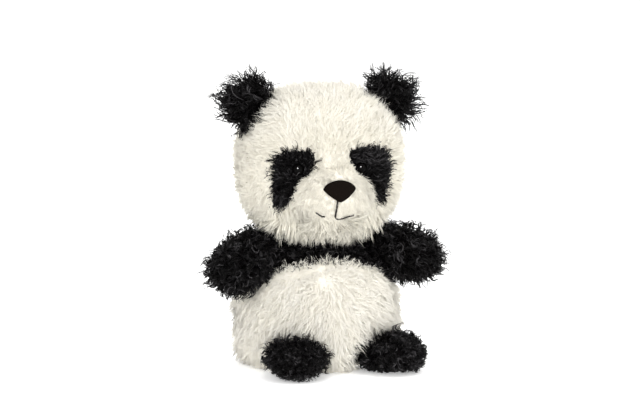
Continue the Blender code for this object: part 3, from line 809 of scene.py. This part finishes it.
def strand_lines(places, normals, comb, reach, style, rng):
    """Each strand's centreline as points from root to tip."""
    tufts = max(1, len(places) // style["tuft"])
    leaders, tuft = tufts_of(places, tufts, rng)
    along = comb
    for share, size in WANDER:
        along = along + share * waves(places, size, rng)
    along = unit(along - (along * normals).sum(1, keepdims=True) * normals)
    way = strand_ways(normals, along, tuft, tufts, style, rng)
    length = strand_lengths(places, way, reach, tuft, tufts, style, rng)
    s = np.linspace(0, 1, style["points"])[None, :, None]
    bend = DOWN * style["droop"] + along * BEND_ALONG + rng.normal(size=(tufts, 3))[tuft] * BEND_VARIES
    line = places[:, None] + length[:, None, None] * (way[:, None] * s + bend[:, None] * s * s * BEND_SIZE)
    line = line + coils(way, length, s, tuft, tufts, style, rng)
    lead = line[leaders][tuft]
    short = np.minimum(1, length / np.maximum(length[leaders][tuft], 1e-6))[:, None, None]
    line = line + (lead - line) * style["hold"] * s**1.2 * short
    for middle in EYES:
        off = line - middle
        far = np.linalg.norm(off, axis=2, keepdims=True)
        line = np.where(far < BEAD_RADIUS, middle + off / np.maximum(far, 1e-6) * BEAD_RADIUS, line)
    line[..., 2] = np.maximum(line[..., 2], FLOOR_GAP)
    return line


def strand_points(lines, width, rng):
    """The vertices of each strand: rings round its line, tapering from the root, then its tip."""
    count, points, _ = lines.shape
    rings = points - 1
    tangent = unit(np.gradient(lines, axis=1))
    reference = unit(rng.normal(size=(count, 1, 3)))
    side = unit(np.cross(tangent, reference))
    other = np.cross(tangent, side)
    taper = 1.0 - TAPER * np.linspace(0, 1, points)[:rings] ** 1.5
    radius = (width / 2 * rng.uniform(*WIDTH_VARIES, count))[:, None, None] * taper[None, :, None]
    shell = []
    for corner in range(STRAND_SIDES):
        turn = 2 * math.pi * corner / STRAND_SIDES
        shell.append(
            lines[:, :rings] + radius * (math.cos(turn) * side[:, :rings] + math.sin(turn) * other[:, :rings])
        )
    shell = np.stack(shell, axis=2).reshape(count, rings * STRAND_SIDES, 3)
    made = np.concatenate([shell, lines[:, -1:]], axis=1)
    made[..., 2] = np.maximum(made[..., 2], FLOOR_GAP / 2)
    return made


def strand_faces(count, rings):
    """The quads and the triangles of that many strands, one after the other."""
    per = rings * STRAND_SIDES + 1
    last = (rings - 1) * STRAND_SIDES
    quads, tris = [], [[2, 1, 0]]
    for corner in range(STRAND_SIDES):
        after = (corner + 1) % STRAND_SIDES
        tris.append([last + corner, last + after, per - 1])
    for low in range(0, last, STRAND_SIDES):
        for corner in range(STRAND_SIDES):
            a, b = low + corner, low + (corner + 1) % STRAND_SIDES
            quads.append([a, b, b + STRAND_SIDES, a + STRAND_SIDES])
    base = (np.arange(count) * per)[:, None, None]
    return (np.array(quads)[None] + base).reshape(-1, 4), (np.array(tris)[None] + base).reshape(-1, 3)


def strand_uv(shade, rings):
    """Each vertex's place in the pile's UV layer: U is the strand's shade and V runs from root to tip."""
    column = (np.floor(np.clip(shade, 0, 0.999) * SHADE_STEPS) + 0.5) / SHADE_STEPS
    across = np.array([-0.4, 0.0, 0.4]) / SHADE_STEPS
    u = np.concatenate([np.tile(across, rings), [0.0]])[None] + column[:, None]
    s = np.linspace(0, 1, rings + 1)
    v = np.concatenate([np.repeat(s[:rings], STRAND_SIDES), [1.0]]) * 0.98 + 0.01
    return np.stack([u, np.broadcast_to(v, u.shape)], axis=-1).reshape(-1, 2)


def strand_mesh(name, lines, width, shade, rng, cloth_normals=None, softness=0):
    """Strands as tapered closed tubes.

    Pale strands let light through, so their shading normals lean towards the cloth's.
    """
    count, points, _ = lines.shape
    rings = points - 1
    per = rings * STRAND_SIDES + 1
    mesh = array_mesh(name, strand_points(lines, width, rng).reshape(-1, 3), *strand_faces(count, rings))
    loops = np.empty(len(mesh.loops), np.int32)
    mesh.loops.foreach_get("vertex_index", loops)
    layer = mesh.uv_layers.new(name=UV_NAME)
    layer.uv.foreach_set("vector", strand_uv(shade, rings)[loops].astype(np.float32).ravel())
    if cloth_normals is not None:
        own = np.empty(len(mesh.vertices) * 3)
        mesh.vertices.foreach_get("normal", own)
        share = np.repeat(softness, per)[:, None]
        soft = unit(own.reshape(-1, 3) * (1 - share) + np.repeat(cloth_normals, per, axis=0) * share)
        mesh.normals_split_custom_set_from_vertices(soft.astype(np.float32))
    return mesh


def clear_of_patches(form, lines):
    """Draws back the white strands that lie across an eye patch."""
    patches = [number for number, node in enumerate(COVERS["head"]) if node.startswith("eye_patch")]
    share = np.ones((len(lines), 1, 1))
    for step, kept in ((-1, 0.6), (-2, 0.35)):
        nearest = [form["panels"].find_nearest(p)[2] for p in lines[:, step].tolist()]
        share[np.isin(form["owner"][nearest], patches)] = kept
    return lines[:, :1] + (lines - lines[:, :1]) * share


def white_middle_with_painted_shade(form, places):
    """The middle shade of the white pile at each place. On the head it carries painted shade: darker on the lower
    face, round the nose and most under the mouth.
    """
    if form["body"] != "head":
        return 0.72
    z = places[:, 2]
    from_nose = np.linalg.norm(places - NOSE_PLACE, axis=1)
    painted_shade_under_mouth = rise(z, 0.0905, 0.085) * rise(from_nose, 0.050, 0.030)
    # Painted shade: the lower face, the muzzle round the nose and the chin under the mouth are made darker.
    return 0.66 - 0.28 * rise(z, 0.146, 0.118) - 0.12 * rise(from_nose, 0.040, 0.014) - 0.16 * painted_shade_under_mouth


def panel_pile(form, number, node, seed):
    """The pile of one panel: one piece, or a left and a right one where there are many strands."""
    style = style_of(node)
    rng = np.random.default_rng(seed)
    places, normals = scattered(form, number, style["per_mm2"], rng)
    comb = comb_of(node, form, places)
    reach = reach_of(node, form, places, normals)
    lines = strand_lines(places, normals, comb, reach, style, rng)
    if form["body"] == "head" and not is_black(node):
        lines = clear_of_patches(form, lines)
    # The head's white middle carries painted shade, and the black pile's spread reaches its pale tips, which are
    # painted highlights.
    middle, spread = (0.5, 0.25) if is_black(node) else (white_middle_with_painted_shade(form, places), 0.09)
    shade = middle + waves(places, 0.012, rng)[:, 0] * spread * 0.7 + rng.normal(size=len(places)) * spread
    fringe = fringe_of(node, places)
    width = style["width"] * (1 + 0.9 * fringe)
    softness = SOFTNESS - 0.35 * fringe
    faces = len(lines) * (2 * STRAND_SIDES * (style["points"] - 2) + STRAND_SIDES + 1)
    halves = {"": np.ones(len(lines), bool)}
    if faces > MOST_FACES:
        halves = {"_left": places[:, 0] > 0, "_right": places[:, 0] <= 0}
    for label, half in halves.items():
        cloth = None if is_black(node) else normals[half]
        mesh = strand_mesh(f"{node}_pile{label}", lines[half], width[half], shade[half], rng, cloth, softness[half])
        pile = link(mesh.name, mesh)
        mesh.materials.append(BLACK_PILE_WITH_PAINTED_HIGHLIGHTS if is_black(node) else WHITE_PILE_WITH_PAINTED_SHADE)
        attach(pile, form["body"])
        "black_pile" if is_black(node) else "white_pile"


piled = [
    (form, number, node)
    for form in forms.values()
    for number, node in enumerate(COVERS[form["body"]])
    if node != "base_panel"
]
for seed, (form, number, node) in enumerate(piled, FIRST_SEED):
    panel_pile(form, number, node, seed)


# Eyes, nose and mouth


def piece(name, mesh, look, body, slot, *stands_for):
    made = link(name, mesh)
    mesh.materials.append(look)
    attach(made, body)
    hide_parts(*stands_for)
    return made


def round_mesh(name, place, around=48, along=24):
    """A closed form: place gives the point for a turn about Y and a share from the front pole to the back one."""
    turns = np.linspace(0, 2 * math.pi, around, endpoint=False)
    shares = np.linspace(0, 1, along + 1)[1:-1]
    rings = np.array([[place(t, v) for t in turns] for v in shares])
    points = [place(0, 0.0), *rings.reshape(-1, 3), place(0, 1.0)]
    faces = []
    for k in range(around):
        after = (k + 1) % around
        faces.append((0, 1 + k, 1 + after))
        for ring in range(len(shares) - 1):
            low = 1 + ring * around
            faces.append((low + k, low + around + k, low + around + after, low + after))
        last = 1 + (len(shares) - 1) * around
        faces.append((last + k, len(points) - 1, last + after))
    mesh = bpy.data.meshes.new(name)
    mesh.from_pydata([tuple(p) for p in points], [], faces)
    mesh.shade_smooth()
    return mesh


def bead_eye(side):
    """A round bead, smooth enough for a clean highlight."""
    middle = bead_place(side)
    low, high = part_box(f"eye_{side}")
    radius = (high.x - low.x) / 2

    def place(turn, share):
        angle = share * math.pi
        out = math.sin(angle)
        return middle + radius * np.array([out * math.cos(turn), -math.cos(angle), out * math.sin(turn)])

    piece(f"bead_eye_{side}", round_mesh("bead", place), EYE, "head", "eye_plastic", f"eye_{side}")


def nose_width(z):
    """The nose's half width at height z, as a part of its greatest: arched above, narrowing to a point below."""
    if z > NOSE_BROAD_AT:
        share = (z - NOSE_BROAD_AT) / (1 - NOSE_BROAD_AT)
        return (1 - share**1.8) ** 0.55
    share = (NOSE_BROAD_AT - z) / (NOSE_BROAD_AT + 1)
    return max(0.0, 1 - share**1.2) ** 0.75


def sewn_nose():
    """A padded pad of smooth cloth that follows the muzzle's curve."""
    low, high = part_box("nose_pad")
    middle = NOSE_PLACE + NOSE_SHIFT
    half = np.array((high - low) / 2) * NOSE_GROWTH
    tilt = math.radians(NOSE_TILT)

    def place(turn, share):
        out = math.sin(share * math.pi) ** 0.7
        x = math.copysign(nose_width(math.sin(turn)), math.cos(turn)) * out * half[0]
        z = (0.1 + (math.sin(turn) - 0.1) * out) * half[2]
        y = -math.cos(share * math.pi) * (0.8 if share < 0.5 else 0.5) * half[1]
        y += x**2 / NOSE_BEND + z**2 / NOSE_BEND
        return middle + np.array([
            x,
            y * math.cos(tilt) - z * math.sin(tilt),
            y * math.sin(tilt) + z * math.cos(tilt),
        ])

    piece("sewn_nose", round_mesh("sewn_nose", place, 96, 36), NOSE_CLOTH, "head", "nose_cloth", "nose_pad")


def on_face(x, z):
    """The place in front of the muzzle's cloth where a thread lies."""
    hit, normal, _, _ = EVERY_CLOTH.ray_cast(Vector((x, -0.2, z)), Vector((0, 1, 0)))
    return np.array(hit + normal * (-THREAD_LIFT if normal.y > 0 else THREAD_LIFT))


def twisted_thread(name, points, node, ply_radius):
    """Two plies of thread twisted round the line through the points."""
    points = np.array(points)
    far = np.concatenate([[0], np.cumsum(np.linalg.norm(np.diff(points, axis=0), axis=1))])
    steps = max(12, round(far[-1] / THREAD_STEP))
    at = np.linspace(0, far[-1], steps)
    line = np.stack([np.interp(at, far, points[:, k]) for k in range(3)], axis=1)
    along = unit(np.gradient(line, axis=0))
    side = unit(np.cross(along, np.array([0.0, 1.0, 0.0])))
    front = np.cross(side, along)
    turn = at / THREAD_TWIST * 2 * math.pi
    verts, faces = [], []
    sides = 6
    for ply in (0, math.pi):
        off_line = np.cos(turn + ply)[:, None] * side + np.sin(turn + ply)[:, None] * front
        middle = line + ply_radius * 0.75 * off_line
        base = len(verts)
        for k in range(steps):
            radius = ply_radius if 0 < k < steps - 1 else ply_radius / 2
            for corner in range(sides):
                a = 2 * math.pi * corner / sides
                verts.append(middle[k] + radius * (math.cos(a) * side[k] + math.sin(a) * front[k]))
        for k in range(steps - 1):
            for corner in range(sides):
                a, b = base + k * sides + corner, base + k * sides + (corner + 1) % sides
                faces.append((a, b, b + sides, a + sides))
        faces.append(tuple(base + corner for corner in reversed(range(sides))))
        faces.append(tuple(base + (steps - 1) * sides + corner for corner in range(sides)))
    mesh = bpy.data.meshes.new(name)
    mesh.from_pydata([tuple(v) for v in verts], [], faces)
    mesh.shade_smooth()
    piece(name, mesh, DARK_THREAD, "head", "dark_thread", node)


def mouth():
    """A smile of two threads with a gap between them, and the line down from the nose."""
    low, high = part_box("mouth_smile")
    middle = (low.x + high.x) / 2
    half = (high.x - low.x) / 2
    lip = low.z + 0.0005
    # Each thread of the smile: how far along it, from -1 to 1, and how far above its lowest point
    smile = {
        "right": [(-1.13, 0.0035), (-0.95, 0.0021), (-0.72, 0.0013)],
        "left": [(-0.22, 0.0016), (-0.16, 0.0004), (-0.02, 0.0), (0.30, 0.0007), (0.775, 0.0018)],
    }
    for label, stitch in smile.items():
        along, above = np.array(stitch).T
        shares = np.linspace(along[0], along[-1], 25)
        heights = np.convolve(np.pad(np.interp(shares, along, above), 2, mode="edge"), np.ones(5) / 5, "valid")
        line = [on_face(middle + half * share, lip + height) for share, height in zip(shares, heights)]
        twisted_thread(f"smile_thread_{label}", line, "mouth_smile", SMILE_PLY)
    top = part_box("mouth_philtrum")[1].z + 0.0006
    line = [on_face(-0.0022 + 0.0008 * share, lip + 0.0012 + (top - lip) * share) for share in np.linspace(0, 1, 15)]
    twisted_thread("philtrum_thread", line, "mouth_philtrum", PHILTRUM_PLY)


for side in ("left", "right"):
    bead_eye(side)
sewn_nose()
mouth()

CAD_LOOKS = {
    "torso_stuffing": STUFFING,
    "head_stuffing": STUFFING,
    "muzzle_stuffing": STUFFING,
    "neck_stuffing": BLACK_CLOTH,
    "bean_pouch_top": CALICO,
    "bean_pouch_base": CALICO,
    "bean_fill": PELLETS,
    "closing_stitch": WHITE_THREAD,
    "neck_thread": DARK_THREAD,
}
for side in ("left", "right"):
    CAD_LOOKS[f"arm_stuffing_{side}"] = STUFFING
    CAD_LOOKS[f"leg_stuffing_{side}"] = STUFFING
    CAD_LOOKS[f"ear_batting_{side}"] = STUFFING
    CAD_LOOKS[f"shoulder_thread_{side}"] = DARK_THREAD
    CAD_LOOKS[f"eye_washer_{side}"] = WASHER
for name, look in CAD_LOOKS.items():
    nodes[name].data.materials.clear()
    nodes[name].data.materials.append(look)


# Studio

FLOOR = grainy_material(
    "studio_floor",
    [(0.3, colour(250, 250, 249)), (0.7, colour(253, 253, 252))],
    3.0,
    bump=(0.02, 0.0005),
    Emission_Color=(1.0, 1.0, 1.0, 1.0),
    Emission_Strength=0.36,
)


def studio_floor():
    """A wide pale floor."""
    bpy.ops.mesh.primitive_circle_add(vertices=96, radius=6.0, fill_type="NGON", location=(0, 0, 0))
    floor = bpy.context.object
    floor.name = "studio_floor"
    floor.data.materials.append(FLOOR)


def softbox(name, place, aim, size, power):
    data = bpy.data.lights.new(name, "AREA")
    data.shape = "DISK"
    data.size = size
    data.energy = power
    lamp = link(name, data)
    lamp.location = place
    lamp.rotation_mode = "QUATERNION"
    lamp.rotation_quaternion = (Vector(aim) - Vector(place)).to_track_quat("-Z", "Y")
    return lamp


studio_floor()
LIGHTS = [  # name, place, aim, size and power
    ("key_light", (-0.7, -1.4, 0.9), (0, 0, 0.09), 0.5, 4.5),
    ("fill_light", (0.8, -1.3, 0.3), (0, 0, 0.08), 0.9, 4.0),
    ("low_light", (-0.2, -1.3, 0.06), (0, 0, 0.05), 0.5, 3.6),
    ("top_light", (0.1, -0.4, 1.5), (0, 0, 0.09), 0.7, 4.7),
    ("back_light", (0.5, 1.4, 1.1), (0, 0, 0.09), 0.9, 9.0),
]
for light in LIGHTS:
    softbox(*light)
# A highlight for the beads alone
glints = bpy.data.collections.new("glints")
for side in ("left", "right"):
    glints.objects.link(bpy.data.objects[f"bead_eye_{side}"])
catch_light = softbox("catch_light", (-0.55, -1.3, 1.0), (0, 0, 0.12), 0.4, 420.0)
catch_light.visible_diffuse = False
catch_light.light_linking.receiver_collection = glints

world = bpy.data.worlds.new("studio_air")
world.use_nodes = True
world.node_tree.nodes["Background"].inputs["Color"].default_value = (1.0, 1.0, 1.0, 1.0)
world.node_tree.nodes["Background"].inputs["Strength"].default_value = 1.0
scene.world = world
scene.view_settings.view_transform = "Standard"

data = bpy.data.cameras.new("camera")
data.lens = LENS
data.sensor_width = 36.0
camera = link("camera", data)
round_by, up_by = math.radians(AZIMUTH), math.radians(ELEVATION)
back = Vector((
    math.sin(round_by) * math.cos(up_by),
    -math.cos(round_by) * math.cos(up_by),
    math.sin(up_by),
))
facing = (-back).to_track_quat("-Z", "Y")
right = facing @ Vector((1, 0, 0))
up = facing @ Vector((0, 1, 0))
camera.rotation_mode = "QUATERNION"
camera.rotation_quaternion = facing
camera.location = Vector(AIM) + right * AIM_RIGHT + up * AIM_UP + back * DISTANCE
scene.camera = camera
